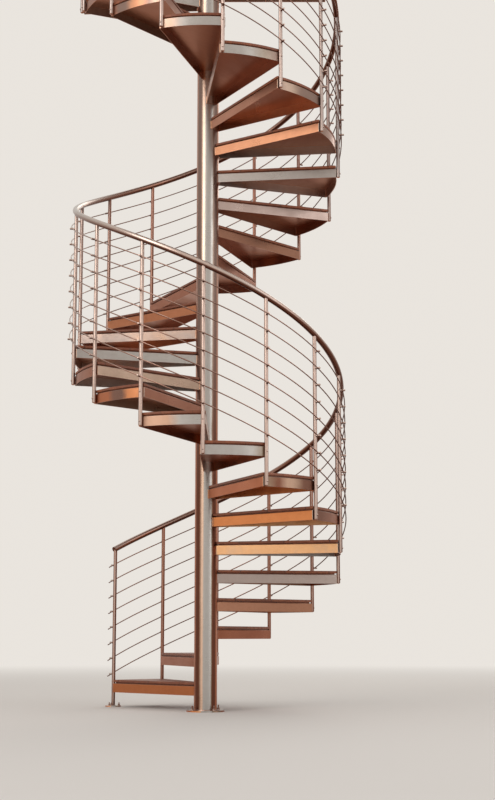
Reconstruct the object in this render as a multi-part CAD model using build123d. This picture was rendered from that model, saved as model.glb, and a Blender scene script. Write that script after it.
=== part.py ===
from build123d import *
import math
import os

# Outdoor spiral stair in satin stainless steel with wooden tread boards.
# Millimetres, +Z up, origin on the column axis at the underside of the base plate.
# Plan angles run clockwise seen from above, and 0 points along +Y.

# Flight
rise = 200.0
tread_count = 29
tread_angle = 25.2
first_post_angle = -47.0
post_circle_radius = 985.0

# Column and its base
column_diameter = 165.0
column_wall = 6.3
column_above_handrail = 85.0
base_plate_diameter = 272.0
base_plate_thickness = 10.0
base_bolt_circle = 222.0
base_bolt_count = 4
base_bolt_hole = 14.0
base_bolt_start_angle = 145.0
cap_thickness = 12.0
cap_overhang = 4.0
cap_crown = 10.0
cap_flat_diameter = 60.0

# Tread pans and boards
pan_depth = 67.0
pan_sheet = 4.0
pan_root_plate = 8.0
nosing = 20.0
board_thickness = 18.0
board_inset = 2.0
shadow_gap = 8.0
shadow_inset = 15.0

# Guard posts, clips, rods and handrail. Tubes repeat so often that they are drawn with few sides,
# and their diameters are the distance across the flats.
post_diameter = 27.0
post_sides = 8
clip_size = 13.0
clip_count = 8
lowest_clip_height = 337.0
top_clip_below_handrail = 125.0
rod_offset = 26.0
clip_beyond_rod = 17.0
rod_size = 8.0
rod_runs_per_bay = 2
handrail_diameter = 42.4
handrail_sides = 12
handrail_height = 1288.0
handrail_runs_per_bay = 3
newel_rod_end = 40.0
newel_foot_diameter = 120.0
newel_foot_thickness = 8.0
newel_foot_hole = 11.0
newel_foot_bolt_circle = 88.0
newel_foot_hole_count = 3

# Landing
landing_depth = 1050.0
landing_pan_depth = 67.0
landing_sheet = 5.0
landing_rib_count = 2
landing_end_margin = 40.0
plank_count = 8
plank_gap = 4.0
landing_first_post = 135.0
wall_bolt_count = 4
wall_bolt_hole = 14.0
wall_bolt_margin = 150.0

# Seat left between curved faces that meet
seat = 0.3

post_radius = post_diameter / 2
column_radius = column_diameter / 2
handrail_radius = handrail_diameter / 2
tread_outer_radius = post_circle_radius - post_radius - seat
tread_inner_radius = column_radius + seat
rod_circle_radius = post_circle_radius + rod_offset
clip_reach = rod_offset + rod_size / 2 + clip_beyond_rod
tread_stack = pan_depth + shadow_gap + board_thickness
landing_level = (tread_count + 1) * rise
clip_pitch = (handrail_height - top_clip_below_handrail - lowest_clip_height) / (clip_count - 1)

os.makedirs("parts", exist_ok=True)


def save(name, shape):
    export_step(shape, f"parts/{name}.step")


def post_angle(k):
    return first_post_angle + k * tread_angle


def foot_height(k):
    return k * rise - tread_stack


def clip_height(j):
    return lowest_clip_height + j * clip_pitch


def turned(angle, height):
    return Location((0, 0, height), (0, 0, -angle))


def polar(radius, angle, height=0.0):
    a = math.radians(angle)
    return Vector(radius * math.sin(a), radius * math.cos(a), height)


def group(solids):
    return Compound(children=list(solids))


# Plan of one tread: two edges parallel to the radial lines through its posts, each standing
# out by edge, closed by an arc at the column and an arc at the posts.
def tread_plan(edge, inner, outer):
    lead_in = Vector(-edge, math.sqrt(inner ** 2 - edge ** 2))
    lead_out = Vector(-edge, math.sqrt(outer ** 2 - edge ** 2))
    swing = math.degrees(math.asin(edge / outer))
    swing_in = math.degrees(math.asin(edge / inner))
    trail_in = polar(inner, tread_angle + swing_in)
    trail_out = polar(outer, tread_angle + swing)
    outer_arc = ThreePointArc(lead_out, polar(outer, tread_angle / 2), trail_out)
    inner_arc = ThreePointArc(trail_in, polar(inner, tread_angle / 2), lead_in)
    return make_face([Line(lead_in, lead_out), outer_arc, Line(trail_out, trail_in), inner_arc])


# Folded pan, open underneath, with a plate at its root that meets the column.
def tread_pan():
    skin = extrude(tread_plan(nosing, tread_inner_radius, tread_outer_radius), pan_depth)
    hollow = extrude(
        tread_plan(nosing - pan_sheet, tread_inner_radius + pan_root_plate,
                   tread_outer_radius - pan_sheet),
        pan_depth - pan_sheet)
    return skin - hollow


# Board with a set-back lower layer that makes the dark shadow line over the pan.
def tread_board():
    layer = tread_plan(nosing - shadow_inset, tread_inner_radius + shadow_inset,
                       tread_outer_radius - shadow_inset)
    slab = tread_plan(nosing - board_inset, tread_inner_radius + board_inset,
                      tread_outer_radius - board_inset)
    return extrude(layer, shadow_gap) + Pos(0, 0, shadow_gap) * extrude(slab, board_thickness)


# Section of a tube with a flat side at its foot, its top and, on a post, where the clips sit.
def tube_section(radius, sides):
    return RegularPolygon(radius, sides, major_radius=False, rotation=180 / sides)


rail_section = tube_section(handrail_radius, handrail_sides)


# Post centred on the vertical axis with clips pointing outward along +Y, its top cut to the
# slope of the handrail.
def guard_post(foot, top, slope=0.0):
    shaft = Pos(0, 0, foot) * extrude(tube_section(post_radius, post_sides), top + post_diameter - foot)
    lid = Location((0, 0, top), (0, slope, 0)) * Box(
        post_diameter * 4, post_diameter * 2, post_diameter * 4,
        align=(Align.CENTER, Align.CENTER, Align.MIN))
    post = shaft - lid
    for j in range(clip_count):
        clip = Pos(0, 0, clip_height(j)) * Box(
            clip_size, clip_reach, clip_size, align=(Align.CENTER, Align.MIN, Align.CENTER))
        post = post + clip
    return post


# Points on the helix of one bay, from angle start to angle end, in equal runs.
def bay_points(radius, start, end, runs):
    points = []
    for i in range(runs + 1):
        angle = start + (end - start) * i / runs
        points.append(polar(radius, angle, angle / tread_angle * rise))
    return points


def bar_along(points, section):
    path = Polyline(*points)
    plane = Plane(origin=points[0], z_dir=points[1] - points[0], x_dir=(0, 0, 1))
    return sweep(plane * section, path=path, transition=Transition.RIGHT)


# Cuts a bar off by upright planes through the column axis, at the angles first and last.
def trimmed(bar, first, last):
    before = Box(2 * post_circle_radius, 2 * post_circle_radius, 8 * rise,
                 align=(Align.MAX, Align.MIN, Align.CENTER))
    after = mirror(before, Plane.YZ)
    return bar - turned(first, 0) * before - turned(last, 0) * after


def helical_bar(radius, section, runs, first, last):
    reach = tread_angle / runs
    bar = bar_along(bay_points(radius, -reach, tread_angle + reach, runs + 2), section)
    return trimmed(bar, first, last)


def guard_rod():
    margin = math.degrees((clip_size / 2 + seat) / rod_circle_radius)
    return helical_bar(rod_circle_radius, Rectangle(rod_size, rod_size), rod_runs_per_bay,
                       margin, tread_angle - margin)


# The rod ends that stand out past the newel post.
def newel_rod():
    outer_end = -math.degrees(newel_rod_end / rod_circle_radius)
    margin = -math.degrees((clip_size / 2 + seat) / rod_circle_radius)
    return helical_bar(rod_circle_radius, Rectangle(rod_size, rod_size), rod_runs_per_bay,
                       outer_end, margin)


def handrail_bay(start_overrun):
    gap = math.degrees(seat / 2 / post_circle_radius)
    start = gap - math.degrees(start_overrun / post_circle_radius)
    return helical_bar(post_circle_radius, rail_section, handrail_runs_per_bay,
                       start, tread_angle - gap)


# Base plate and column
base = Cylinder(base_plate_diameter / 2, base_plate_thickness,
                align=(Align.CENTER, Align.CENTER, Align.MIN))
for i in range(base_bolt_count):
    spot = polar(base_bolt_circle / 2, base_bolt_start_angle + i * 360 / base_bolt_count)
    base = base - Pos(spot.X, spot.Y, base_plate_thickness / 2) * Cylinder(
        base_bolt_hole / 2, base_plate_thickness * 2)
save("base_plate", base)

column_top = foot_height(tread_count) + handrail_height + column_above_handrail
column_length = column_top - base_plate_thickness
column = Cylinder(column_radius, column_length, align=(Align.CENTER, Align.CENTER, Align.MIN))
column = column - Cylinder(column_radius - column_wall, column_length,
                           align=(Align.CENTER, Align.CENTER, Align.MIN))
save("column", Pos(0, 0, base_plate_thickness) * column)

cap_radius = column_radius + cap_overhang
cap = Cylinder(cap_radius, cap_thickness, align=(Align.CENTER, Align.CENTER, Align.MIN))
cap = cap + Pos(0, 0, cap_thickness) * Cone(cap_radius, cap_flat_diameter / 2, cap_crown,
                                            align=(Align.CENTER, Align.CENTER, Align.MIN))
save("column_cap", Pos(0, 0, column_top) * cap)

# Treads
pan = tread_pan()
board = tread_board()
boards = []
for k in range(1, tread_count + 1):
    place = turned(post_angle(k - 1), foot_height(k))
    save(f"tread_{k:02d}", place * pan)
    boards.append(turned(post_angle(k - 1), foot_height(k) + pan_depth) * board)
half = (tread_count + 1) // 2
save("tread_boards_lower", group(boards[:half]))
save("tread_boards_upper", group(boards[half:]))

# Guard of the flight
slope = math.degrees(math.atan2(rise, math.radians(tread_angle) * post_circle_radius))
post_top = handrail_height - (handrail_radius + seat) / math.cos(math.radians(slope))
post = guard_post(0, post_top, -slope)
out_to_posts = Pos(0, post_circle_radius, 0)
posts = [turned(post_angle(k), foot_height(k)) * out_to_posts * post
         for k in range(1, tread_count + 1)]
level_cut = Pos(0, 0, handrail_height - handrail_radius - seat) * Box(
    4 * post_diameter, 4 * post_diameter, 4 * post_diameter,
    align=(Align.CENTER, Align.CENTER, Align.MIN))
last_place = turned(post_angle(tread_count), foot_height(tread_count))
posts[-1] = last_place * out_to_posts * (post - level_cut)
save("posts_lower", group(posts[:half]))
save("posts_upper", group(posts[half:]))

newel_bottom = newel_foot_thickness + seat - foot_height(0)
newel = guard_post(newel_bottom, post_top, -slope)
save("newel_post", turned(post_angle(0), foot_height(0)) * out_to_posts * newel)

foot = Cylinder(newel_foot_diameter / 2, newel_foot_thickness,
                align=(Align.CENTER, Align.CENTER, Align.MIN))
for i in range(newel_foot_hole_count):
    spot = polar(newel_foot_bolt_circle / 2, i * 360 / newel_foot_hole_count)
    foot = foot - Pos(spot.X, spot.Y, newel_foot_thickness / 2) * Cylinder(
        newel_foot_hole / 2, newel_foot_thickness * 2)
save("newel_foot", turned(post_angle(0), 0) * out_to_posts * foot)

rod = guard_rod()
rods = []
for k in range(1, tread_count + 1):
    for j in range(clip_count):
        rods.append(turned(post_angle(k - 1), foot_height(k - 1) + clip_height(j)) * rod)
rod_end = newel_rod()
rod_ends = [turned(post_angle(0), foot_height(0) + clip_height(j)) * rod_end
            for j in range(clip_count)]
save("guard_rods_lower", group(rods[:half * clip_count] + rod_ends))
save("guard_rods_upper", group(rods[half * clip_count:]))

rail = handrail_bay(0)
rails = [turned(post_angle(k - 1), foot_height(k - 1) + handrail_height) * rail
         for k in range(2, tread_count + 1)]
first_rail = handrail_bay(handrail_radius)
rails.insert(0, turned(post_angle(0), foot_height(0) + handrail_height) * first_rail)
save("handrail_lower", group(rails[:half]))
save("handrail_upper", group(rails[half:]))

# Landing at the head of the flight, from the last post round to the right-hand edge
last_angle = post_angle(tread_count)
last_post = polar(post_circle_radius, last_angle)
edge_gap = post_radius + seat
west = last_post.X + edge_gap
east = post_circle_radius - edge_gap
south_line = -nosing - edge_gap


def landing_plan(inset, root):
    inner = tread_inner_radius + root
    outer = tread_outer_radius - inset
    edge = nosing - inset
    lead_in = turned(last_angle, 0) * Pos(-edge, math.sqrt(inner ** 2 - edge ** 2), 0)
    lead_out = turned(last_angle, 0) * Pos(-edge, math.sqrt(outer ** 2 - edge ** 2), 0)
    a = Vector(*lead_in.position)
    b = Vector(*lead_out.position)
    side = west + inset
    c = Vector(side, math.sqrt(outer ** 2 - side ** 2))
    middle = polar(outer, (math.degrees(math.atan2(b.X, b.Y)) + math.degrees(math.atan2(c.X, c.Y))) / 2)
    d = Vector(side, landing_depth - inset)
    e = Vector(east - inset, landing_depth - inset)
    f = Vector(east - inset, -edge)
    g = Vector(math.sqrt(inner ** 2 - edge ** 2), -edge)
    root_middle = polar(inner, (last_angle % 360 - 360 + 90) / 2)
    return make_face([
        Line(a, b), ThreePointArc(b, middle, c), Line(c, d), Line(d, e), Line(e, f), Line(f, g),
        ThreePointArc(g, root_middle, a)])


frame_bottom = landing_level - board_thickness - shadow_gap - landing_pan_depth
frame = extrude(landing_plan(0, 0), landing_pan_depth)
frame = frame - extrude(landing_plan(landing_sheet, pan_root_plate), landing_pan_depth - landing_sheet)
for i in range(landing_rib_count):
    x = west + (east - west) * (i + 1) / (landing_rib_count + 1)
    rib = Pos(x, landing_depth - landing_sheet / 2, landing_pan_depth / 2) * Box(
        landing_sheet, 2 * landing_depth, landing_pan_depth)
    frame = frame + (rib & extrude(landing_plan(landing_sheet / 2, pan_root_plate / 2), landing_pan_depth))
for i in range(wall_bolt_count):
    x = west + wall_bolt_margin + (east - west - 2 * wall_bolt_margin) * i / (wall_bolt_count - 1)
    hole = Location((x, landing_depth, landing_pan_depth / 2), (90, 0, 0)) * Cylinder(
        wall_bolt_hole / 2, landing_sheet * 4)
    frame = frame - hole
save("landing_frame", Pos(0, 0, frame_bottom) * frame)

deck = extrude(landing_plan(shadow_inset, shadow_inset), shadow_gap)
deck_top = extrude(landing_plan(board_inset, board_inset), board_thickness)
plank_width = (landing_depth + nosing - 2 * board_inset - (plank_count - 1) * plank_gap) / plank_count
planks = []
for i in range(plank_count):
    y = board_inset - nosing + i * (plank_width + plank_gap)
    strip = Pos(0, y, 0) * Box(4 * post_circle_radius, plank_width, landing_pan_depth,
                               align=(Align.CENTER, Align.MIN, Align.CENTER))
    plank = (deck & strip) + Pos(0, 0, shadow_gap) * (deck_top & strip)
    planks.append(Pos(0, 0, frame_bottom + landing_pan_depth) * plank)
save("landing_planks", group(planks))

# Landing guard: upright posts outside the edges, level rods between their clips
level = foot_height(tread_count)
landing_post = guard_post(frame_bottom - level, handrail_height - handrail_radius - seat)
south_end = east - landing_end_margin
north_end = landing_depth - landing_end_margin
south_spots = [(x, south_line) for x in
               (landing_first_post, (landing_first_post + south_end) / 2, south_end)]
east_spots = [(post_circle_radius, y) for y in
              (landing_end_margin - nosing, (landing_end_margin - nosing + north_end) / 2, north_end)]
west_spot = (last_post.X, north_end)
stands = [Location((x, y, level), (0, 0, 180)) for x, y in south_spots]
stands += [Location((x, y, level), (0, 0, -90)) for x, y in east_spots]
stands.append(Location((west_spot[0], west_spot[1], level), (0, 0, 90)))
save("landing_posts", group([stand * landing_post for stand in stands]))

side = clip_size / 2 + seat
rod_y = south_line - rod_offset
rod_x = post_circle_radius + rod_offset
routes = []
for i in range(2):
    routes.append([(south_spots[i][0] + side, rod_y), (south_spots[i + 1][0] - side, rod_y)])
    routes.append([(rod_x, east_spots[i][1] + side), (rod_x, east_spots[i + 1][1] - side)])
routes.append([(south_end + side, rod_y), (rod_x, rod_y), (rod_x, east_spots[0][1] - side)])
turn = polar(rod_circle_radius, last_angle)
joint = Vector(west_spot[0] - rod_offset, west_spot[1])
heading = (joint - turn).normalized()
across = abs(heading.cross(polar(1, last_angle)).Z)
along = abs(heading.dot(polar(1, last_angle)))
trim = (clip_size / 2 + rod_size / 2 * along + seat) / across
first = turn + heading * trim
last = joint - heading * side
routes.append([(first.X, first.Y), (last.X, last.Y)])
landing_rods = []
for route in routes:
    level_rod = bar_along([Vector(x, y, 0) for x, y in route], Rectangle(rod_size, rod_size))
    for j in range(clip_count):
        landing_rods.append(Pos(0, 0, level + clip_height(j)) * level_rod)
save("landing_rods", group(landing_rods))

rail_level = level + handrail_height
rail_corner = Vector(post_circle_radius, south_line, rail_level)
south_rail = bar_along([
    Vector(landing_first_post - landing_end_margin, south_line, rail_level),
    rail_corner + Vector(handrail_diameter, 0)], rail_section)
east_rail = bar_along([
    rail_corner - Vector(0, handrail_diameter),
    Vector(post_circle_radius, landing_depth, rail_level)], rail_section)
mitre_block = Pos(-seat / 2, 0, 0) * Box(rise, rise, rise,
                                         align=(Align.MIN, Align.CENTER, Align.CENTER))
south_rail = south_rail - Location(rail_corner, (0, 0, 45)) * mitre_block
east_rail = east_rail - Location(rail_corner, (0, 0, 225)) * mitre_block
west_rail = bar_along([
    Vector(last_post.X, last_post.Y - handrail_diameter, rail_level),
    Vector(last_post.X, landing_depth, rail_level)], rail_section)
behind = Box(post_circle_radius, post_circle_radius * 2, rise,
             align=(Align.MAX, Align.MIN, Align.CENTER))
past_joint = last_angle + math.degrees(seat / 2 / post_circle_radius)
west_rail = west_rail - turned(past_joint, rail_level) * behind
save("landing_handrail", group([south_rail, east_rail, west_rail]))
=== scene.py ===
import math
import random

import bpy
import numpy as np
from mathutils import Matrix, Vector


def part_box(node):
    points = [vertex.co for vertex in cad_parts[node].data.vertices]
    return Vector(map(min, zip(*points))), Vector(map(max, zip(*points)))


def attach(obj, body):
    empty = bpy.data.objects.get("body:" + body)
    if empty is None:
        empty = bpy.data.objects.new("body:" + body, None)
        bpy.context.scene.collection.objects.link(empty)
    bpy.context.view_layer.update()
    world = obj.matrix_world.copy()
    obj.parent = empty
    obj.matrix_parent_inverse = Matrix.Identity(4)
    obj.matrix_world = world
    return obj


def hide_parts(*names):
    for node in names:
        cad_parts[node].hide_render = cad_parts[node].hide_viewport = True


# Looks of the spiral stair: satin stainless steel and oiled hardwood boards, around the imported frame.
# Metres, +Z up. Plan angles run clockwise seen from above, and 0 points along +Y.

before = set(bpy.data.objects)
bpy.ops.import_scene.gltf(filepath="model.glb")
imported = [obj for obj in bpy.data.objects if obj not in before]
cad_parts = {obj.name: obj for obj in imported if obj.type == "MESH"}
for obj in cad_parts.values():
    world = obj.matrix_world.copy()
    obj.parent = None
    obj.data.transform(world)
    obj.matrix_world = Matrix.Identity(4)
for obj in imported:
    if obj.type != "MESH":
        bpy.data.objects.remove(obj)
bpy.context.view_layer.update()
random.seed(11)

# Flight
RISE = 0.2
TREADS = 29
LOWER_TREADS = (TREADS + 1) // 2
STEP = math.radians(25.2)
FIRST = math.radians(-47.0)
MIDDLE = FIRST + LOWER_TREADS * STEP
LAST = FIRST + TREADS * STEP
POST_CIRCLE = 0.985
COLUMN_RADIUS = 0.0825
SEAT = 0.0003

# Tread pans and boards
PAN_DEPTH = 0.067
PAN_SHEET = 0.004
PAN_ROOT = 0.008
PAN_BEND = 0.005
PAN_CORNER = 0.004
NOSING = 0.02
BOARD = 0.018
BOARD_CORNER = 0.006
BOARD_INSET = 0.002
BOARD_EDGE = 0.0035
GAP = 0.008
GAP_INSET = 0.015
STACK = PAN_DEPTH + GAP + BOARD

# Guard
POST_RADIUS = 0.0135
PIN_RADIUS = 0.0072
PIN_REACH = 0.047
PIN_COUNT = 8
LOWEST_PIN = 0.337
TOP_PIN = 1.163
ROD_OFFSET = 0.026
ROD_RADIUS = 0.004
ROD_START = 0.04
ROD_PAST_PIN = 0.013
ROD_BEND = 0.02
RAIL_RADIUS = 0.0212
RAIL_HEIGHT = 1.288
RAIL_BEND = 0.03

# Landing
LANDING_FIRST_POST = 0.135
LANDING_MARGIN = 0.04

# Anchors
BASE_ANCHORS = 4
BASE_ANCHOR_CIRCLE = 0.111
FIRST_BASE_ANCHOR = math.radians(145)
BASE_ANCHOR = {"thread": 0.006, "nut_width": 0.019, "nut_height": 0.0105, "stud_height": 0.034}
NEWEL_ANCHORS = 3
NEWEL_ANCHOR_CIRCLE = 0.044
NEWEL_ANCHOR = {"thread": 0.005, "nut_width": 0.016, "nut_height": 0.0085, "stud_height": 0.022}

# How finely round forms are divided
ARC_STEPS = 18
CORNER_STEPS = 4
ROOT_STEPS = 8
BEND_STEPS = 4
RIM_STEPS = 3
BEAD_STEPS = 24
ROD_RUNS = 10
ROD_SECTION = 12
RAIL_RUNS = 12
RAIL_SECTION = 36

# Edges that turn by more than this stay sharp
SHARP_ANGLE = math.radians(35)

# Read from the frame
BASE_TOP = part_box("base_plate")[1].z
NEWEL_PLATE_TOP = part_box("newel_foot")[1].z
COLUMN_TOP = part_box("column")[1].z
CAP_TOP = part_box("column_cap")[1].z
CAP_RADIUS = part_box("column_cap")[1].x
LANDING_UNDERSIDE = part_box("landing_frame")[0].z
LANDING_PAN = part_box("landing_frame")[1].z - LANDING_UNDERSIDE
LANDING_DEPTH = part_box("landing_frame")[1].y

TREAD_OUTER = POST_CIRCLE - POST_RADIUS - SEAT
TREAD_INNER = COLUMN_RADIUS + SEAT
ROD_CIRCLE = POST_CIRCLE + ROD_OFFSET
LANDING_FOOT = TREADS * RISE - STACK
LANDING_RAIL = LANDING_FOOT + RAIL_HEIGHT
UP = np.array((0.0, 0.0, 1.0))


def post_angle(k):
    return FIRST + k * STEP


def foot_height(k):
    return k * RISE - STACK


def pin_height(j):
    return LOWEST_PIN + j * (TOP_PIN - LOWEST_PIN) / (PIN_COUNT - 1)


def outward(angle):
    return np.array((math.sin(angle), math.cos(angle), 0.0))


def polar(radius, angle, height=0.0):
    return outward(angle) * radius + UP * height


def painted_light_by_depth(place, spread=0.4):
    """Tone by place in plan: painted shade, brown, towards the back of the stair, and painted light,
    bright, towards the front.
    """
    depth = np.atleast_2d(place)[:, 1] / POST_CIRCLE
    return 0.5 - spread * np.clip(depth, -1.0, 1.0)


def turned(points, angle, height):
    """Turns points of a tread's own frame to their place in the flight."""
    c, s = math.cos(angle), math.sin(angle)
    x = points[:, 0] * c + points[:, 1] * s
    y = points[:, 1] * c - points[:, 0] * s
    return np.column_stack((x, y, points[:, 2] + height))


class Shape:
    """A mesh that grows part by part. Each point keeps its place along its own part, in local, a tone
    from 0, brown, to 1, bright, and in arc whether it is on a tread's outer arc. The tone is painted
    light and shade on posts, pins, rods, rails and pans, and a fixed tone on welds and fittings."""

    def __init__(self):
        self.points, self.local, self.tone, self.arc, self.faces = [], [], [], [], []
        self.size = 0

    def add(self, points, faces, local, tone, arc=0.0):
        shift = random.uniform(-3, 3)
        self.points.append(points)
        self.local.append(local + shift * UP)
        self.tone.append(np.broadcast_to(np.asarray(tone, float), len(points)))
        self.arc.append(np.broadcast_to(np.asarray(arc, float), len(points)))
        self.faces += [tuple(i + self.size for i in face) for face in faces]
        self.size += len(points)

    def mesh(self, name):
        mesh = bpy.data.meshes.new(name)
        mesh.from_pydata(np.vstack(self.points).tolist(), [], self.faces)
        local = mesh.attributes.new("local", "FLOAT_VECTOR", "POINT")
        local.data.foreach_set("vector", np.vstack(self.local).astype(np.float32).ravel())
        for label, values in (("tone", self.tone), ("arc", self.arc)):
            layer = mesh.attributes.new(label, "FLOAT", "POINT")
            layer.data.foreach_set("value", np.concatenate(values).astype(np.float32))
        mesh.polygons.foreach_set("use_smooth", [True] * len(mesh.polygons))
        mesh.set_sharp_from_angle(angle=SHARP_ANGLE)
        return mesh

    def piece(self, name, material, slot, nodes=(), flat_faces=False):
        """Makes a piece of the stair that stands for nodes. flat_faces keeps flats flat up to a bend."""
        mesh = self.mesh(name)
        mesh.materials.append(material)
        mesh.validate()
        piece = bpy.data.objects.new(name, mesh)
        bpy.context.scene.collection.objects.link(piece)
        if flat_faces:
            piece.modifiers.new("flat_faces", "WEIGHTED_NORMAL").keep_sharp = True
        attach(piece, "root")
        if nodes:
            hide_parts(*nodes)


def ring_faces(rows, count):
    """Quads between rows of count points each, with a face over the first and the last row."""
    faces = []
    for r in range(rows - 1):
        a, b = r * count, (r + 1) * count
        for i in range(count):
            j = (i + 1) % count
            faces.append((a + i, a + j, b + j, b + i))
    faces.append(tuple(reversed(range(count))))
    faces.append(tuple(range((rows - 1) * count, rows * count)))
    return faces


def circle_turns(sides):
    return np.arange(sides) * 2 * math.pi / sides


def lathe(shape, base, axis, profile, sides, tone=0.5):
    """A round part on an axis of length 1. profile lists (radius, height) from its foot to its top."""
    helper = UP if abs(axis[2]) < 0.9 else np.array((1.0, 0.0, 0.0))
    u = np.cross(helper, axis)
    u /= np.linalg.norm(u)
    v = np.cross(axis, u)
    turn = circle_turns(sides)
    circle = np.cos(turn)[:, None] * u + np.sin(turn)[:, None] * v
    flat = np.column_stack((np.cos(turn), np.sin(turn), np.zeros(sides)))
    points = [base + axis * h + circle * r for r, h in profile]
    local = [flat * r + UP * h for r, h in profile]
    shape.add(np.vstack(points), ring_faces(len(profile), sides), np.vstack(local), tone)


def tube(shape, path, radius, sides, tone=0.5):
    """A tube along a path that is nowhere upright. radius and tone are one value or one a point."""
    tangent = np.gradient(path, axis=0)
    tangent /= np.linalg.norm(tangent, axis=1)[:, None]
    side = np.cross(tangent, UP)
    side /= np.linalg.norm(side, axis=1)[:, None]
    top = np.cross(side, tangent)
    along = np.concatenate(((0.0,), np.cumsum(np.linalg.norm(np.diff(path, axis=0), axis=1))))
    radius = np.broadcast_to(radius, len(path))
    turn = circle_turns(sides)
    points, local = [], []
    for i in range(len(path)):
        spokes = np.cos(turn)[:, None] * side[i] + np.sin(turn)[:, None] * top[i]
        points.append(path[i] + spokes * radius[i])
        local.append(np.column_stack((np.cos(turn) * radius[i], np.sin(turn) * radius[i],
                                      np.full(sides, along[i]))))
    tone = np.repeat(np.broadcast_to(np.asarray(tone, float), len(path)), sides)
    shape.add(np.vstack(points), ring_faces(len(path), sides), np.vstack(local), tone)


def rounded_end(radius, height, edge):
    """Profile points of a rounded rim whose top is at height."""
    points = []
    for i in range(RIM_STEPS + 1):
        a = math.pi / 2 * i / RIM_STEPS
        points.append((radius - edge + edge * math.cos(a), height - edge + edge * math.sin(a)))
    return points


def rounded_foot(radius, height, edge):
    """Profile points of a rounded rim whose lowest point is at height."""
    return [(r, 2 * height - h) for r, h in reversed(rounded_end(radius, height, edge))]


def bent(corners, bend, steps=8):
    """A path through corners, each rounded to the bend radius."""
    corners = [np.asarray(c, float) for c in corners]
    path = [corners[0]]
    for before, corner, after in zip(corners, corners[1:], corners[2:]):
        come = (before - corner) / np.linalg.norm(before - corner)
        leave = (after - corner) / np.linalg.norm(after - corner)
        half = math.acos(float(np.clip(np.dot(come, leave), -1, 1))) / 2
        reach = bend / math.tan(half)
        middle = come + leave
        middle /= np.linalg.norm(middle)
        centre = corner + middle * (bend / math.sin(half))
        start = corner + come * reach - centre
        end = corner + leave * reach - centre
        sweep = math.pi - 2 * half
        for i in range(steps + 1):
            t = i / steps
            arc = (math.sin((1 - t) * sweep) * start + math.sin(t * sweep) * end) / math.sin(sweep)
            path.append(centre + arc)
    path.append(corners[-1])
    return np.array(path)


def helix(radius, start, end, height, runs_per_tread):
    """Points that climb with the flight. height is the level at the newel post."""
    count = max(2, int((end - start) / STEP * runs_per_tread))
    angles = np.linspace(start, end, count + 1)
    return np.array([polar(radius, a, height + (a - FIRST) / STEP * RISE) for a in angles])


def arc_between(radius, start, sweep, steps):
    """Points of an arc round the column's axis, without its two ends."""
    angles = [start + sweep * i / steps for i in range(1, steps)]
    return [(radius * math.sin(a), radius * math.cos(a)) for a in angles]


def tread_outline(edge, inner, outer, corner):
    """Outline of one tread with rounded outer corners. edge is how far it reaches past the radial
    line of its post. The number of points is the same for every size."""
    middle = math.sqrt((outer - corner) ** 2 - (corner - edge) ** 2)
    centre_angle = math.atan2(corner - edge, middle)
    lead = [(-edge, math.sqrt(inner ** 2 - edge ** 2))]
    for i in range(CORNER_STEPS + 1):
        a = -math.pi / 2 + (math.pi / 2 + centre_angle) * i / CORNER_STEPS
        lead.append((corner - edge + corner * math.sin(a), middle + corner * math.cos(a)))
    trail = [(y * math.sin(STEP) - x * math.cos(STEP), y * math.cos(STEP) + x * math.sin(STEP))
             for x, y in reversed(lead)]
    arc = arc_between(outer, centre_angle, STEP - 2 * centre_angle, ARC_STEPS)
    swing = math.asin(edge / inner)
    root = arc_between(inner, STEP + swing, -(STEP + 2 * swing), ROOT_STEPS)
    return np.array(lead + arc + trail + root)


def inset_outline(inset, corner=PAN_CORNER):
    return tread_outline(NOSING - inset, TREAD_INNER + inset, TREAD_OUTER - inset, corner)


def level_ring(outline, z):
    return np.column_stack((outline, np.full(len(outline), z)))


def outline_length(outline):
    steps = np.linalg.norm(np.diff(outline, axis=0, append=outline[:1]), axis=1)
    return np.concatenate(((0.0,), np.cumsum(steps)[:-1]))


def pan_rings(skin):
    """Outlines and heights of a pan: up in the middle, down inside its rim, then up its skin."""
    inside = tread_outline(NOSING - PAN_SHEET, TREAD_INNER + PAN_ROOT, TREAD_OUTER - PAN_SHEET,
                           PAN_CORNER)
    rings = [(inside, PAN_DEPTH - PAN_SHEET), (inside, 0.0), (skin, 0.0), (skin, PAN_DEPTH - PAN_BEND)]
    for i in range(1, BEND_STEPS + 1):
        a = math.pi / 2 * i / BEND_STEPS
        ring = inset_outline(PAN_BEND * (1 - math.cos(a)))
        rings.append((ring, PAN_DEPTH - PAN_BEND + PAN_BEND * math.sin(a)))
    return rings


def tread_pan(k):
    """Folded pan with round bends along its top, and a weld bead up each side of its root."""
    shape = Shape()
    angle, height = post_angle(k - 1), foot_height(k)
    skin = inset_outline(0.0)
    count = len(skin)
    rings = pan_rings(skin)
    points = np.vstack([level_ring(outline, z) for outline, z in rings])
    length = outline_length(skin)
    ring_shift = 0.01
    local = np.vstack([np.column_stack((np.full(count, i * ring_shift), length, np.full(count, z)))
                       for i, (_, z) in enumerate(rings)])
    on_arc = np.zeros(count)
    on_arc[CORNER_STEPS + 1:CORNER_STEPS + ARC_STEPS + 2] = 1.0
    # Pans at the back take painted shade; none takes painted light
    tone = min(0.5, painted_light_by_depth(outward(angle + STEP / 2))[0])
    shape.add(turned(points, angle, height), ring_faces(len(rings), count), local, tone,
              np.tile(on_arc, len(rings)))
    reach = STEP / 2 + math.asin(NOSING / COLUMN_RADIUS)
    for side in (-1, 1):
        weld_upright(shape, polar(COLUMN_RADIUS, angle + STEP / 2 + side * reach, height), PAN_DEPTH)
    shape.piece(f"tread_{k:02d}_pan", PAN_STEEL, "steel", [f"tread_{k:02d}"], flat_faces=True)


def weld_upright(shape, foot, length):
    """A straight bead with the ripples that hand welding leaves."""
    end, size, ripple, ripple_turn = 0.0012, 0.0032, 0.0005, 2.1
    profile = [(end, 0.0)]
    for i in range(1, BEAD_STEPS):
        profile.append((size + ripple * math.sin(i * ripple_turn), length * i / BEAD_STEPS))
    profile.append((end, length))
    lathe(shape, foot, UP, profile, sides=8, tone=0.45)


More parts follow.
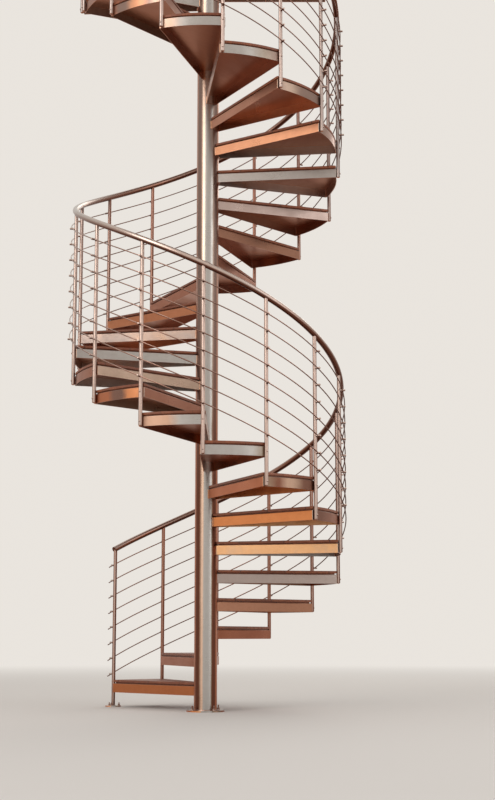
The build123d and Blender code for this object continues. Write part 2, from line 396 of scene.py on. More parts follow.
def weld_ring(shape, centre, radius, size):
    """A bead round a tube's foot, with the same kind of ripples."""
    count, ripple, ripples = 120, 0.09, 60
    turn = np.linspace(0, 2 * math.pi, count + 1)
    path = np.array([polar(radius, a) for a in turn]) + centre
    tube(shape, path, size * (1 + ripple * np.sin(turn * ripples)), sides=10, tone=0.3)


def board_rings():
    """Insets and heights of a board: the set-back layer under it, then its two rounded edges."""
    rings = [(GAP_INSET, 0.0), (GAP_INSET, GAP)]
    turns = [math.pi / 2 * i / RIM_STEPS for i in range(RIM_STEPS + 1)]
    for a in turns:
        rings.append((BOARD_INSET + BOARD_EDGE * (1 - math.sin(a)), GAP + BOARD_EDGE * (1 - math.cos(a))))
    for a in turns:
        rings.append((BOARD_INSET + BOARD_EDGE * (1 - math.cos(a)),
                      GAP + BOARD - BOARD_EDGE * (1 - math.sin(a))))
    return rings


def tread_board(shape, k):
    """Board with rounded edges over a set-back layer that keeps it off the pan."""
    rings = [level_ring(inset_outline(inset, BOARD_CORNER), z) for inset, z in board_rings()]
    points = np.vstack(rings)
    along_the_tread = turned(points, -STEP / 2, 0.0)
    place = turned(points, post_angle(k - 1), foot_height(k) + PAN_DEPTH)
    shape.add(place, ring_faces(len(rings), len(rings[0])), along_the_tread, random.uniform(0.2, 0.8))


def post(shape, place, foot, top, tone):
    """A round post with a domed plug in its foot. Its top ends inside the handrail."""
    plug, plug_height, edge, sections = 0.004, 0.0004, 0.0035, 6
    profile = [(plug, plug_height)] + rounded_foot(POST_RADIUS, edge, edge)
    profile += [(POST_RADIUS, (top - foot) * i / sections) for i in range(1, sections)]
    profile.append((POST_RADIUS, top - foot))
    lathe(shape, np.array((place[0], place[1], foot)), UP, profile, sides=28, tone=tone)


def pin(shape, place, height, direction, tone):
    """A round pin that carries a rod, with a small weld at the post and a rounded end."""
    start = POST_RADIUS * 0.8
    skin = POST_RADIUS - start
    weld = 0.0022
    fillet = ((0.002, 0.0004), (0.0009, 0.0013), (0.0, 0.0032))
    profile = [(PIN_RADIUS + weld, 0.0)]
    profile += [(PIN_RADIUS + width, skin + past) for width, past in fillet]
    profile += rounded_end(PIN_RADIUS, PIN_REACH - start, edge=0.0028)
    base = np.array((place[0], place[1], height)) + direction * start
    lathe(shape, base, direction, profile, sides=14, tone=tone)


def screw(shape, place, height, direction):
    """A button-head screw with a socket, through a post into the pan behind it."""
    head, rim, rise, socket, socket_depth, sunk = 0.0072, 0.0016, 0.0042, 0.0026, 0.0022, 0.0012
    profile = [(head, 0.0), (head, rim)]
    for i in range(1, BEND_STEPS + 1):
        a = math.pi / 2 * i / BEND_STEPS
        profile.append((socket + (head - socket) * math.cos(a), rim + rise * math.sin(a)))
    profile.append((socket, rim + rise - socket_depth))
    base = np.array((place[0], place[1], height)) + direction * (POST_RADIUS - sunk)
    lathe(shape, base, direction, profile, sides=18, tone=0.9)


def anchor(shape, place, floor, thread, nut_width, nut_height, stud_height):
    """Washer, hexagon nut and threaded stud."""
    base = np.array((place[0], place[1], floor))
    washer, washer_height, washer_edge = nut_width * 0.62, 0.0025, 0.0006
    lathe(shape, base, UP, [(washer, 0.0)] + rounded_end(washer, washer_height, washer_edge), sides=28,
          tone=0.75)
    corner, flat = nut_width / math.sqrt(3), nut_width / 2
    lower_bevel, upper_bevel = 0.0012, 0.0014
    nut = [(flat, 0.0), (corner, lower_bevel), (corner, nut_height - upper_bevel),
           (flat * 0.96, nut_height)]
    lathe(shape, base + UP * washer_height, UP, nut, sides=6, tone=0.65)
    pitch, groove, tip = thread * 0.3, thread * 0.86, thread * 0.7
    profile = []
    for i in range(int(stud_height / pitch)):
        profile += [(groove, i * pitch), (thread, (i + 0.5) * pitch)]
    profile.append((tip, stud_height))
    lathe(shape, base, UP, profile, sides=18, tone=0.6)


class Nodes:
    """Short calls for the nodes of one material or world."""

    def __init__(self, tree):
        self.tree = tree

    def new(self, kind, **values):
        node = self.tree.nodes.new(kind)
        for name, value in values.items():
            setattr(node, name, value)
        return node

    def link(self, source, target):
        self.tree.links.new(source, target)

    def attribute(self, name, output):
        return self.new("ShaderNodeAttribute", attribute_name=name).outputs[output]

    def object_place(self):
        return self.new("ShaderNodeTexCoord").outputs["Object"]

    def split(self, vector):
        node = self.new("ShaderNodeSeparateXYZ")
        self.link(vector, node.inputs[0])
        return node.outputs

    def mapped(self, vector, setting, value):
        node = self.new("ShaderNodeMapping")
        node.inputs[setting].default_value = value
        self.link(vector, node.inputs["Vector"])
        return node.outputs["Vector"]

    def noise(self, vector, scale, detail, roughness):
        node = self.new("ShaderNodeTexNoise")
        node.inputs["Scale"].default_value = scale
        node.inputs["Detail"].default_value = detail
        node.inputs["Roughness"].default_value = roughness
        self.link(vector, node.inputs["Vector"])
        return node.outputs["Fac"]

    def streaks(self, vector, scales, detail, roughness=0.5):
        """Noise that is drawn out along the axis with the smallest scale."""
        return self.noise(self.mapped(vector, "Scale", scales), 1.0, detail, roughness)

    def math(self, operation, a, b=0.0):
        node = self.new("ShaderNodeMath", operation=operation)
        for socket, value in zip(node.inputs, (a, b)):
            self.fill(socket, value)
        return node.outputs[0]

    def span(self, value, low, high, to_low=0.0, to_high=1.0, smooth=False):
        """Takes value from between low and high to between to_low and to_high, and no further."""
        node = self.new("ShaderNodeMapRange")
        node.interpolation_type = "SMOOTHSTEP" if smooth else "LINEAR"
        self.link(value, node.inputs["Value"])
        for socket, number in zip(node.inputs[1:5], (low, high, to_low, to_high)):
            socket.default_value = number
        return node.outputs[0]

    def ramp(self, value, stops):
        node = self.new("ShaderNodeValToRGB")
        band = node.color_ramp
        while len(band.elements) < len(stops):
            band.elements.new(0.5)
        for element, (place, colour) in zip(band.elements, stops):
            element.position = place
            element.color = (*colour, 1.0)
        self.link(value, node.inputs["Fac"])
        return node.outputs["Color"]

    def mix(self, factor, a, b, blend="MIX"):
        node = self.new("ShaderNodeMix", data_type="RGBA", blend_type=blend)
        for socket, value in ((node.inputs[0], factor), (node.inputs[6], a), (node.inputs[7], b)):
            self.fill(socket, value)
        return node.outputs[2]

    def mix_shader(self, factor, a, b, target):
        node = self.new("ShaderNodeMixShader")
        for socket, source in zip(node.inputs, (factor, a, b)):
            self.link(source, socket)
        self.link(node.outputs[0], target)

    def fill(self, socket, value):
        """Sets a socket to a number or a colour, or links another node's output to it."""
        if isinstance(value, (int, float)):
            socket.default_value = value
        elif isinstance(value, tuple):
            socket.default_value = (*value, 1.0)
        else:
            self.link(value, socket)

    def bump(self, height, strength, distance):
        node = self.new("ShaderNodeBump")
        node.inputs["Strength"].default_value = strength
        node.inputs["Distance"].default_value = distance
        self.link(height, node.inputs["Height"])
        return node.outputs["Normal"]


def new_material(name):
    """A material with its node calls and its shader's sockets."""
    material = bpy.data.materials.new(name)
    material.use_nodes = True
    return material, Nodes(material.node_tree), material.node_tree.nodes["Principled BSDF"].inputs


# Colours of the steel, most of them painted reflections: the warm, dark and silver bands and the glint
# stand in for what the steel mirrors. The lists below say which of them shows on which side of the stair,
# and the colours at its back are a guess.
SILVER = (0.50, 0.475, 0.45)
PALE = (0.68, 0.51, 0.44)
GLINT = (0.80, 0.55, 0.41)
TAN = (0.93, 0.53, 0.27)
ORANGE = (0.78, 0.29, 0.11)
RUST = (0.48, 0.15, 0.06)
BROWN = (0.32, 0.10, 0.045)
DEEP = (0.14, 0.05, 0.03)
OLIVE = (0.22, 0.16, 0.11)
WARM = (0.43, 0.28, 0.20)
NEUTRAL = (0.46, 0.41, 0.37)
# Painted shade for steel faces that turn down
UNDERSIDE_SHADE = (0.46, 0.19, 0.11)
UMBER = (0.21, 0.10, 0.07)
ROSE = (0.53, 0.32, 0.22)
COOL_TINT = (0.62, 0.68, 0.74)
BRUSH_SHADE = (0.6, 0.6, 0.6)
WHITE = (1.0, 1.0, 1.0)

# Degrees from the front, positive to the right, and the colour there, a painted reflection
PAN_SIDES = [(-180, NEUTRAL), (-115, NEUTRAL), (-94, WARM), (-76, RUST), (-56, RUST),
             (-40, ORANGE), (-30, ORANGE), (-14, TAN), (-10, SILVER), (19, SILVER), (26, OLIVE),
             (37, WARM), (48, OLIVE), (60, BROWN), (74, BROWN), (94, WARM), (115, NEUTRAL),
             (180, NEUTRAL)]
ARC_SIDES = [(-180, NEUTRAL), (-115, NEUTRAL), (-94, WARM), (-78, BROWN), (-54, BROWN), (-48, RUST),
             (-42, RUST), (-39, UMBER), (-35, UMBER), (-32, ORANGE), (-28, ORANGE), (-24, UMBER),
             (-21, ROSE), (-14, ROSE), (-9, SILVER), (19, SILVER), (25, OLIVE), (32, DEEP), (37, WARM),
             (40, WARM), (44, UMBER), (56, UMBER), (74, BROWN), (94, WARM), (115, NEUTRAL),
             (180, NEUTRAL)]
# The column's bands are painted reflections, and GLINT between -21 and -15 degrees is a painted highlight
# line
COLUMN_SIDES = [(-180, NEUTRAL), (-112, NEUTRAL), (-94, WARM), (-76, BROWN), (-65, RUST), (-57, DEEP),
                (-35, DEEP), (-27, WARM), (-21, GLINT), (-15, GLINT), (-10, SILVER), (25, SILVER),
                (31, OLIVE), (35, DEEP), (56, DEEP), (65, RUST), (76, BROWN), (94, WARM),
                (112, NEUTRAL), (180, NEUTRAL)]
# Tubes, pins and rods: a pale painted highlight near the front, darker painted reflections on the flanks
TUBE_SIDES = [(-180, NEUTRAL), (-115, WARM), (-85, DEEP), (-38, DEEP), (-24, PALE), (4, PALE),
              (14, SILVER), (27, DEEP), (75, DEEP), (115, WARM), (180, NEUTRAL)]
PIN_SIDES = [(-180, WARM), (-100, SILVER), (-60, PALE), (60, PALE), (100, SILVER), (180, WARM)]
ROD_SIDES = [(-180, WARM), (-90, DEEP), (-40, BROWN), (40, BROWN), (90, DEEP), (180, WARM)]

# Heights between which all the steel turns greyer, and steel with a high_tint takes that on
GREYER = (1.4, 3.2)
TINTED = (3.2, 4.4)


def side_ramp(n, turn, sides):
    return n.ramp(turn, [(0.5 + degrees / 360, colour) for degrees, colour in sides])


def painted_reflection_by_side(n, facing, cloud, sides, arc_sides):
    """Colour by the way a surface faces in plan, with slightly uneven borders: painted reflections, fixed
    to the facing side. Points on a tread's outer arc take theirs from arc_sides."""
    turn = n.math("ARCTAN2", facing["X"], n.math("MULTIPLY", facing["Y"], -1.0))
    uneven = n.span(cloud, 0.0, 1.0, -0.01, 0.01)
    turn = n.math("ADD", n.span(turn, -math.pi, math.pi), uneven)
    colour = side_ramp(n, turn, sides)
    if arc_sides:
        colour = n.mix(n.attribute("arc", "Fac"), colour, side_ramp(n, turn, arc_sides))
    return colour


def colour_by_height(n, colour, height, high_tint):
    colour = n.mix(n.span(height, *GREYER, 0.0, 0.3, smooth=True), colour, NEUTRAL)
    if high_tint:
        colour = n.mix(n.span(height, *TINTED, smooth=True), colour, high_tint, "MULTIPLY")
    return colour


def colour_by_tint_and_painted_light(n, colour):
    tone = n.attribute("tone", "Fac")
    # Tones above 0.5 are painted light in PALE, tones below are painted shade in BROWN, and on the welds
    # their heat tint
    colour = n.mix(n.span(tone, 0.5, 1.0, 0.0, 0.8), colour, PALE)
    return n.mix(n.span(tone, 0.5, 0.0, 0.0, 0.9), colour, BROWN)


def stainless(name, sides, brush, rough=0.3, mottled=0.12, top_highlight_from=0.35, under=UNDERSIDE_SHADE,
              under_shade_from=0.35, use_local=True, arc_sides=None, high_tint=None):
    """Satin stainless steel with brush lines and cloudy marks. brush scales the lines along three axes.
    The two _from arguments say how far up or down a surface faces where its colour changes: faces turned
    up take a painted silver highlight, faces turned down painted shade. The colours by side and by tone
    are painted reflections, light and shade."""
    material, n, shader = new_material(name)
    object_place = n.object_place()
    place = n.attribute("local", "Vector") if use_local else object_place
    facing = n.split(n.new("ShaderNodeNewGeometry").outputs["Normal"])
    cloud = n.noise(place, scale=5.0, detail=4.0, roughness=0.6)
    colour = painted_reflection_by_side(n, facing, cloud, sides, arc_sides)
    colour = colour_by_height(n, colour, n.split(object_place)["Z"], high_tint)
    # Faces turned up: painted silver highlight
    colour = n.mix(n.span(facing["Z"], top_highlight_from, top_highlight_from + 0.4, 0.0, 0.8), colour, SILVER)
    if use_local:
        colour = colour_by_tint_and_painted_light(n, colour)
    # Faces turned down: painted shade
    colour = n.mix(n.span(facing["Z"], -under_shade_from, -under_shade_from - 0.4), colour, under)
    mottle = n.noise(place, scale=23.0, detail=5.0, roughness=0.65)
    colour = n.mix(n.span(mottle, 0.35, 0.75, 0.0, mottled), colour, BROWN, "MULTIPLY")
    lines = n.streaks(place, brush, detail=2.0, roughness=0.6)
    colour = n.mix(0.15, colour, n.ramp(lines, [(0.3, BRUSH_SHADE), (0.7, WHITE)]), "MULTIPLY")
    n.link(colour, shader["Base Color"])
    shader["Metallic"].default_value = 1.0
    wear = n.math("ADD", n.span(cloud, 0.3, 0.7, -0.06, 0.1), n.span(lines, 0.3, 0.7, -0.04, 0.05))
    n.link(n.math("ADD", wear, rough), shader["Roughness"])
    n.link(n.bump(lines, strength=0.1, distance=0.0003), shader["Normal"])
    return material


# Hardwood
STAVE_WIDTH = 0.072
STAVE_SHIFT = 0.7
GRAIN_BEND = 0.05
WOOD_DARK = (0.12, 0.032, 0.013)
WOOD_MIDDLE = (0.30, 0.085, 0.034)
WOOD_LIGHT = (0.46, 0.155, 0.065)
STAVE_SHADE = (0.72, 0.68, 0.66)
PORE = (0.035, 0.012, 0.007)
SEAM = (0.03, 0.011, 0.007)


def wood_place(n, use_local):
    """Coordinates whose Y runs along the grain: along a tread's middle line, or X on the landing."""
    if use_local:
        return n.attribute("local", "Vector")
    return n.mapped(n.object_place(), "Rotation", (0.0, 0.0, math.pi / 2))


def stave_value(n, staves):
    """A number from 0 to 1 that is the same all over one stave."""
    node = n.new("ShaderNodeTexWhiteNoise", noise_dimensions="1D")
    n.link(n.math("FLOOR", staves), node.inputs["W"])
    return node.outputs["Value"]


def grain_place(n, place, stave):
    """The place moved sideways, so that the grain bends and differs from stave to stave."""
    bend = n.streaks(place, (6.0, 0.9, 6.0), detail=2.0)
    sideways = n.new("ShaderNodeCombineXYZ")
    shift = n.math("ADD", n.math("MULTIPLY", bend, GRAIN_BEND), n.math("MULTIPLY", stave, STAVE_SHIFT))
    n.link(shift, sideways.inputs["X"])
    moved = n.new("ShaderNodeVectorMath", operation="ADD")
    n.link(place, moved.inputs[0])
    n.link(sideways.outputs[0], moved.inputs[1])
    return moved.outputs[0]


def seam_between(n, staves):
    """1 in the joint between two staves and 0 away from it, by shares of a stave's width."""
    joint_edge, clear_edge = 0.006, 0.016
    within = n.math("FRACT", staves)
    from_joint = n.math("MINIMUM", within, n.math("SUBTRACT", 1.0, within))
    return n.span(from_joint, joint_edge, clear_edge, 1.0, 0.0)


def hardwood(name, use_local=True):
    """Oiled hardwood in glued staves, with grain and pores."""
    material, n, shader = new_material(name)
    place = wood_place(n, use_local)
    staves = n.math("DIVIDE", n.split(place)["X"], STAVE_WIDTH)
    stave = stave_value(n, staves)
    seam = seam_between(n, staves)
    grown = grain_place(n, place, stave)
    grain = n.streaks(grown, (160.0, 3.5, 480.0), detail=5.0, roughness=0.65)
    pores = n.streaks(grown, (900.0, 22.0, 1400.0), detail=2.0)
    colour = n.ramp(grain, [(0.28, WOOD_DARK), (0.5, WOOD_MIDDLE), (0.72, WOOD_LIGHT)])
    colour = n.mix(1.0, colour, n.ramp(stave, [(0.0, STAVE_SHADE), (1.0, WHITE)]), "MULTIPLY")
    colour = n.mix(n.span(pores, 0.62, 0.72, 0.0, 0.6), colour, PORE)
    colour = n.mix(n.math("MULTIPLY", seam, 0.7), colour, SEAM)
    n.link(colour, shader["Base Color"])
    n.link(n.span(grain, 0.3, 0.7, to_low=0.62, to_high=0.42), shader["Roughness"])
    shader["Coat Weight"].default_value = 0.12
    shader["Coat Roughness"].default_value = 0.35
    relief = n.math("SUBTRACT", n.math("MULTIPLY", grain, 0.5), n.math("MULTIPLY", seam, 0.8))
    relief = n.math("SUBTRACT", relief, n.math("MULTIPLY", n.span(pores, 0.6, 0.75), 0.4))
    n.link(n.bump(relief, strength=0.35, distance=0.0008), shader["Normal"])
    return material


# Brush lines run along tubes and rods, level round the column and the pans, and along Y on plates
TUBE_BRUSH = (900.0, 900.0, 60.0)

PAN_STEEL = stainless("pan_steel", PAN_SIDES, (40.0, 6.0, 900.0), rough=0.32, arc_sides=ARC_SIDES)
TUBE_STEEL = stainless("tube_steel", TUBE_SIDES, TUBE_BRUSH, mottled=0.06, high_tint=COOL_TINT)
# Pins, rods and the rail: a painted highlight on top and dark painted shade, DEEP, beneath
PIN_STEEL = stainless("pin_steel", PIN_SIDES, TUBE_BRUSH, mottled=0.06, top_highlight_from=0.0, under=DEEP,
                      under_shade_from=0.05)
ROD_STEEL = stainless("rod_steel", ROD_SIDES, TUBE_BRUSH, mottled=0.06, top_highlight_from=0.3, under=DEEP,
                      under_shade_from=0.0)
COLUMN_STEEL = stainless("column_steel", COLUMN_SIDES, (9.0, 9.0, 900.0), mottled=0.06)
RAIL_STEEL = stainless("rail_steel", TUBE_SIDES, (900.0, 900.0, 12.0), rough=0.24, mottled=0.06,
                       top_highlight_from=0.0, under=DEEP, under_shade_from=0.05)
PLATE_STEEL = stainless("plate_steel", PAN_SIDES, (500.0, 12.0, 500.0), rough=0.34, use_local=False)
BOARD_WOOD = hardwood("oiled_hardwood")
PLANK_WOOD = hardwood("deck_hardwood", use_local=False)


def build_column():
    shape = Shape()
    sections = 12
    height = COLUMN_TOP - BASE_TOP
    profile = [(COLUMN_RADIUS, height * i / sections) for i in range(sections + 1)]
    lathe(shape, (0.0, 0.0, BASE_TOP), UP, profile, sides=144)
    shape.piece("column_tube", COLUMN_STEEL, "steel", ["column"])


def build_column_cap():
    """A low cap with a rounded foot, a short upright rim and a crown that curves in to a flat top."""
    shape = Shape()
    height = CAP_TOP - COLUMN_TOP
    foot_edge, rim_share, flat_top, steps = 0.002, 0.45, 0.03, 8
    profile = rounded_foot(CAP_RADIUS, foot_edge, foot_edge) + [(CAP_RADIUS, height * rim_share)]
    for i in range(1, steps + 1):
        a = math.pi / 2 * i / steps
        profile.append((flat_top + (CAP_RADIUS - flat_top) * math.cos(a),
                        height * (rim_share + (1 - rim_share) * math.sin(a))))
    lathe(shape, (0.0, 0.0, COLUMN_TOP), UP, profile, sides=96)
    shape.piece("column_cap_disc", COLUMN_STEEL, "steel", ["column_cap"])


def build_anchors():
    """Anchors on both foot plates, and the welds round the two feet."""
    fittings = Shape()
    for i in range(BASE_ANCHORS):
        spot = polar(BASE_ANCHOR_CIRCLE, FIRST_BASE_ANCHOR + i * 2 * math.pi / BASE_ANCHORS)
        anchor(fittings, spot, BASE_TOP, **BASE_ANCHOR)
    newel = polar(POST_CIRCLE, FIRST)
    for i in range(NEWEL_ANCHORS):
        spot = newel + polar(NEWEL_ANCHOR_CIRCLE, FIRST + i * 2 * math.pi / NEWEL_ANCHORS)
        anchor(fittings, spot, NEWEL_PLATE_TOP, **NEWEL_ANCHOR)
    weld_lift = 0.001
    weld_ring(fittings, UP * (BASE_TOP + weld_lift), radius=COLUMN_RADIUS + 0.002, size=0.0045)
    weld_ring(fittings, newel + UP * (NEWEL_PLATE_TOP + weld_lift), radius=POST_RADIUS + 0.001,
              size=0.0028)
    fittings.piece("anchors_and_foot_welds", TUBE_STEEL, "steel")


def finish_plates_and_planks():
    """Gives the nodes that keep their own mesh a material."""
    finishes = {"base_plate": PLATE_STEEL, "newel_foot": PLATE_STEEL, "landing_frame": PLATE_STEEL,
                "landing_planks": PLANK_WOOD}
    for node, material in finishes.items():
        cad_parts[node].data.materials.clear()
        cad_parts[node].data.materials.append(material)


def flight_post(posts, pins, k):
    """Post k with its pins, and its screws into the pan at its foot and into the next one."""
    direction = outward(post_angle(k))
    place = polar(POST_CIRCLE, post_angle(k))
    foot = foot_height(k)
    # Posts at the back take painted shade, those at the front painted light, and their pins a brighter
    # painted highlight
    tone = float(painted_light_by_depth(place)[0])
    post(posts, place, foot, foot + RAIL_HEIGHT, tone)
    for j in range(PIN_COUNT):
        pin(pins, place, foot + pin_height(j), direction, min(1.0, tone + 0.3))
    screw(pins, place, foot + PAN_DEPTH * 0.5, direction)
    if k < TREADS:
        screw(pins, place, foot_height(k + 1) + PAN_DEPTH * 0.5, direction)


def build_flight():
    for k in range(1, TREADS + 1):
        tread_pan(k)
    halves = (("lower", range(1, LOWER_TREADS + 1)), ("upper", range(LOWER_TREADS + 1, TREADS + 1)))
    for half, treads in halves:
        boards, posts, pins = Shape(), Shape(), Shape()
        for k in treads:
            tread_board(boards, k)
            flight_post(posts, pins, k)
        boards.piece(f"tread_boards_{half}_wood", BOARD_WOOD, "wood", [f"tread_boards_{half}"],
                     flat_faces=True)
        posts.piece(f"posts_{half}_tubes", TUBE_STEEL, "steel", [f"posts_{half}"])
        pins.piece(f"pins_{half}", PIN_STEEL, "steel")


def build_newel():
    shape, pins = Shape(), Shape()
    place = polar(POST_CIRCLE, FIRST)
    post(shape, place, NEWEL_PLATE_TOP, foot_height(0) + RAIL_HEIGHT, tone=0.35)
    for j in range(PIN_COUNT):
        pin(pins, place, foot_height(0) + pin_height(j), outward(FIRST), tone=0.5)
    screw(pins, place, foot_height(1) + PAN_DEPTH * 0.5, outward(FIRST))
    shape.piece("newel_tube", TUBE_STEEL, "steel", ["newel_post"])
    pins.piece("newel_pins", PIN_STEEL, "steel")


def build_rods():
    """Each rod climbs outside the posts and runs on to a pin of the landing's last post."""
    lower, upper = Shape(), Shape()
    end_x = polar(POST_CIRCLE, LAST)[0] - ROD_OFFSET
    end_y = LANDING_DEPTH - LANDING_MARGIN + ROD_PAST_PIN
    for j in range(PIN_COUNT):
        level = foot_height(0) + pin_height(j)
        # Rod tones: painted shade at the back of the stair, painted light at the front
        start = helix(ROD_CIRCLE, FIRST - ROD_START / ROD_CIRCLE, MIDDLE, level, ROD_RUNS)
        tube(lower, start, ROD_RADIUS, ROD_SECTION, painted_light_by_depth(start, spread=0.15))
        climb = helix(ROD_CIRCLE, MIDDLE, LAST, level, ROD_RUNS)
        climb = np.vstack((climb, (end_x, end_y, LANDING_FOOT + pin_height(j))))
        tube(upper, climb, ROD_RADIUS, ROD_SECTION, painted_light_by_depth(climb, spread=0.15))
    lower.piece("guard_rods_lower_bars", ROD_STEEL, "steel", ["guard_rods_lower"])
    upper.piece("guard_rods_upper_bars", ROD_STEEL, "steel", ["guard_rods_upper"])


def build_handrail():
    """The handrail climbs over the posts and runs on level from the last one to the landing's back."""
    lower, upper = Shape(), Shape()
    level = foot_height(0) + RAIL_HEIGHT
    # Handrail tones: painted shade at the back of the stair, painted light at the front
    start = helix(POST_CIRCLE, FIRST - POST_RADIUS / POST_CIRCLE, MIDDLE, level, RAIL_RUNS)
    tube(lower, start, RAIL_RADIUS, RAIL_SECTION, painted_light_by_depth(start, spread=0.3))
    climb = helix(POST_CIRCLE, MIDDLE, LAST, level, RAIL_RUNS)
    last_post = polar(POST_CIRCLE, LAST)
    turn = bent([climb[-2], last_post + UP * LANDING_RAIL, (last_post[0], LANDING_DEPTH, LANDING_RAIL)],
                RAIL_BEND, steps=6)
    climb = np.vstack((climb[:-1], turn[1:]))
    tube(upper, climb, RAIL_RADIUS, RAIL_SECTION, painted_light_by_depth(climb, spread=0.3))
    lower.piece("handrail_lower_tube", RAIL_STEEL, "rail", ["handrail_lower"])
    upper.piece("handrail_upper_tube", RAIL_STEEL, "rail", ["handrail_upper"])


# Plan of the landing's guard, which runs along its south edge (-Y) and its east edge (+X)
GUARD_EAST = POST_CIRCLE
GUARD_SOUTH = -NOSING - (POST_RADIUS + SEAT)
GUARD_NORTH_END = LANDING_DEPTH - LANDING_MARGIN


def landing_spots():
    """Where the landing's posts stand, and which way their pins point."""
    south_end = GUARD_EAST - (POST_RADIUS + SEAT) - LANDING_MARGIN
    east_start = LANDING_MARGIN - NOSING
    spots = [((x, GUARD_SOUTH), (0.0, -1.0, 0.0)) for x in
             (LANDING_FIRST_POST, (LANDING_FIRST_POST + south_end) / 2, south_end)]
    spots += [((GUARD_EAST, y), (1.0, 0.0, 0.0)) for y in
              (east_start, (east_start + GUARD_NORTH_END) / 2, GUARD_NORTH_END)]
    spots.append(((polar(POST_CIRCLE, LAST)[0], GUARD_NORTH_END), (-1.0, 0.0, 0.0)))
    return spots


def build_landing_posts():
    posts, pins = Shape(), Shape()
    for place, way in landing_spots():
        direction = np.array(way)
        post(posts, place, LANDING_UNDERSIDE, LANDING_RAIL, tone=0.5)
        for j in range(PIN_COUNT):
            pin(pins, place, LANDING_FOOT + pin_height(j), direction, tone=0.6)
        for share in (0.3, 0.7):
            screw(pins, place, LANDING_UNDERSIDE + LANDING_PAN * share, direction)
    posts.piece("landing_posts_tubes", TUBE_STEEL, "steel", ["landing_posts"])
    pins.piece("landing_pins", PIN_STEEL, "steel")


def build_landing_rods():
    rods = Shape()
    east, south = GUARD_EAST + ROD_OFFSET, GUARD_SOUTH - ROD_OFFSET
    for j in range(PIN_COUNT):
        level = LANDING_FOOT + pin_height(j)
        path = bent([(LANDING_FIRST_POST - ROD_PAST_PIN, south, level), (east, south, level),
                     (east, GUARD_NORTH_END + ROD_PAST_PIN, level)], ROD_BEND)
        tube(rods, path, ROD_RADIUS, ROD_SECTION, tone=0.45)
    rods.piece("landing_rods_bars", ROD_STEEL, "steel", ["landing_rods"])


def build_landing_rail():
    rail = Shape()
    path = bent([(LANDING_FIRST_POST - LANDING_MARGIN, GUARD_SOUTH, LANDING_RAIL),
                 (GUARD_EAST, GUARD_SOUTH, LANDING_RAIL),
                 (GUARD_EAST, LANDING_DEPTH, LANDING_RAIL)], RAIL_BEND)
    tube(rail, path, RAIL_RADIUS, RAIL_SECTION)
    rail.piece("landing_handrail_tube", RAIL_STEEL, "rail", ["landing_handrail"])


# Studio: a pale floor that fades into the backdrop's colour, soft lamps and the camera
BACKDROP = (0.82, 0.78, 0.73)
FLOOR = (0.74, 0.71, 0.68)
FLOOR_RADIUS = 40
FLOOR_SIDES = 64
FADE_FROM = 4.0
FADE_TO = 16.0
WORLD_LIGHT = (1.0, 0.97, 0.94)
WORLD_STRENGTH = 0.55


def seen_directly(n):
    """1 for rays from the camera or off a shiny surface or through a clear one, otherwise 0."""
    path = n.new("ShaderNodeLightPath").outputs
    return n.math("MAXIMUM", path["Is Camera Ray"],
                  n.math("MAXIMUM", path["Is Glossy Ray"], path["Is Transmission Ray"]))


def floor_material():
    material, n, shader = new_material("studio_floor")
    shader["Base Color"].default_value = (*FLOOR, 1.0)
    shader["Roughness"].default_value = 0.85
    distance = n.new("ShaderNodeVectorMath", operation="LENGTH")
    n.link(n.object_place(), distance.inputs[0])
    far = n.span(distance.outputs["Value"], FADE_FROM, FADE_TO, smooth=True)
    glow = n.new("ShaderNodeEmission")
    glow.inputs["Color"].default_value = (*BACKDROP, 1.0)
    nodes = material.node_tree.nodes
    n.mix_shader(n.math("MULTIPLY", seen_directly(n), far), nodes["Principled BSDF"].outputs[0],
                 glow.outputs[0], nodes["Material Output"].inputs["Surface"])
    return material


def build_floor():
    mesh = bpy.data.meshes.new("studio_floor")
    angles = np.linspace(0, 2 * math.pi, FLOOR_SIDES + 1)[:-1]
    rim = [(FLOOR_RADIUS * math.cos(a), FLOOR_RADIUS * math.sin(a), 0.0) for a in angles]
    mesh.from_pydata(rim, [], [tuple(range(FLOOR_SIDES))])
    mesh.materials.append(floor_material())
    floor = bpy.data.objects.new("studio_floor", mesh)
    bpy.context.scene.collection.objects.link(floor)


def build_world():
    """Soft light from all round, which shows as the backdrop's colour where it is seen."""
    world = bpy.data.worlds.new("studio_world")
    bpy.context.scene.world = world
    world.use_nodes = True
    n = Nodes(world.node_tree)
    light = world.node_tree.nodes["Background"]
    light.inputs["Color"].default_value = (*WORLD_LIGHT, 1.0)
    light.inputs["Strength"].default_value = WORLD_STRENGTH
    backdrop = n.new("ShaderNodeBackground")
    backdrop.inputs["Color"].default_value = (*BACKDROP, 1.0)
    n.mix_shader(seen_directly(n), light.outputs[0], backdrop.outputs[0],
                 world.node_tree.nodes["World Output"].inputs["Surface"])


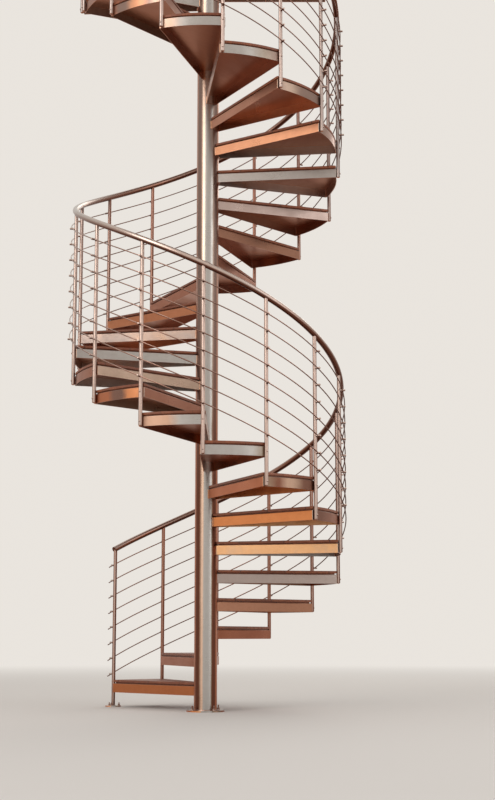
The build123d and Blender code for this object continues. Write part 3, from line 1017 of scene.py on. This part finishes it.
def softbox(name, place, aim_height, width, height, power, colour):
    """A rectangular lamp that points at the column's axis at aim_height."""
    lamp = bpy.data.lights.new(name, "AREA")
    lamp.shape = "RECTANGLE"
    lamp.size = width
    lamp.size_y = height
    lamp.energy = power
    lamp.color = colour
    holder = bpy.data.objects.new(name, lamp)
    bpy.context.scene.collection.objects.link(holder)
    holder.location = place
    aim = Vector((0.0, 0.0, aim_height)) - Vector(place)
    holder.rotation_euler = aim.to_track_quat("-Z", "Y").to_euler()


def build_lamps():
    softbox("key_left", place=(-6.5, -7.5, 8.0), aim_height=3.0, width=5.0, height=8.0, power=360,
            colour=(1.0, 0.96, 0.92))
    softbox("fill_right", place=(7.5, -5.0, 5.0), aim_height=3.0, width=5.0, height=8.0, power=170,
            colour=(0.96, 0.98, 1.0))
    softbox("back_light", place=(3.0, 8.0, 9.0), aim_height=3.5, width=6.0, height=6.0, power=220,
            colour=(1.0, 0.95, 0.88))


# Camera at the photograph's view. Focal length and picture centre are in the picture's pixels, the
# pitch is in radians.
PICTURE_WIDTH = 495
PICTURE_HEIGHT = 800
FOCAL = 1307.0
CENTRE_FROM_LEFT = 243.8
CENTRE_FROM_TOP = 429.4
CAMERA_PITCH = 0.1567
CAMERA_RIGHT = 0.2725
CAMERA_DISTANCE = 9.468
CAMERA_HEIGHT = 0.5295


def build_camera():
    camera = bpy.data.cameras.new("view")
    camera.sensor_fit = "VERTICAL"
    camera.sensor_height = 24.0
    camera.lens = FOCAL / PICTURE_HEIGHT * camera.sensor_height
    camera.shift_x = (PICTURE_WIDTH / 2 - CENTRE_FROM_LEFT) / PICTURE_HEIGHT
    camera.shift_y = (CENTRE_FROM_TOP - PICTURE_HEIGHT / 2) / PICTURE_HEIGHT
    camera.clip_end = 100.0
    holder = bpy.data.objects.new("view", camera)
    holder.location = (CAMERA_RIGHT, -CAMERA_DISTANCE, CAMERA_HEIGHT)
    holder.rotation_euler = (math.pi / 2 + CAMERA_PITCH, 0.0, 0.0)
    bpy.context.scene.collection.objects.link(holder)
    bpy.context.scene.camera = holder


build_column()
build_column_cap()
build_anchors()
finish_plates_and_planks()
build_flight()
build_newel()
build_rods()
build_handrail()
build_landing_posts()
build_landing_rods()
build_landing_rail()
build_floor()
build_world()
build_lamps()
build_camera()
bpy.context.scene.view_settings.view_transform = "Standard"
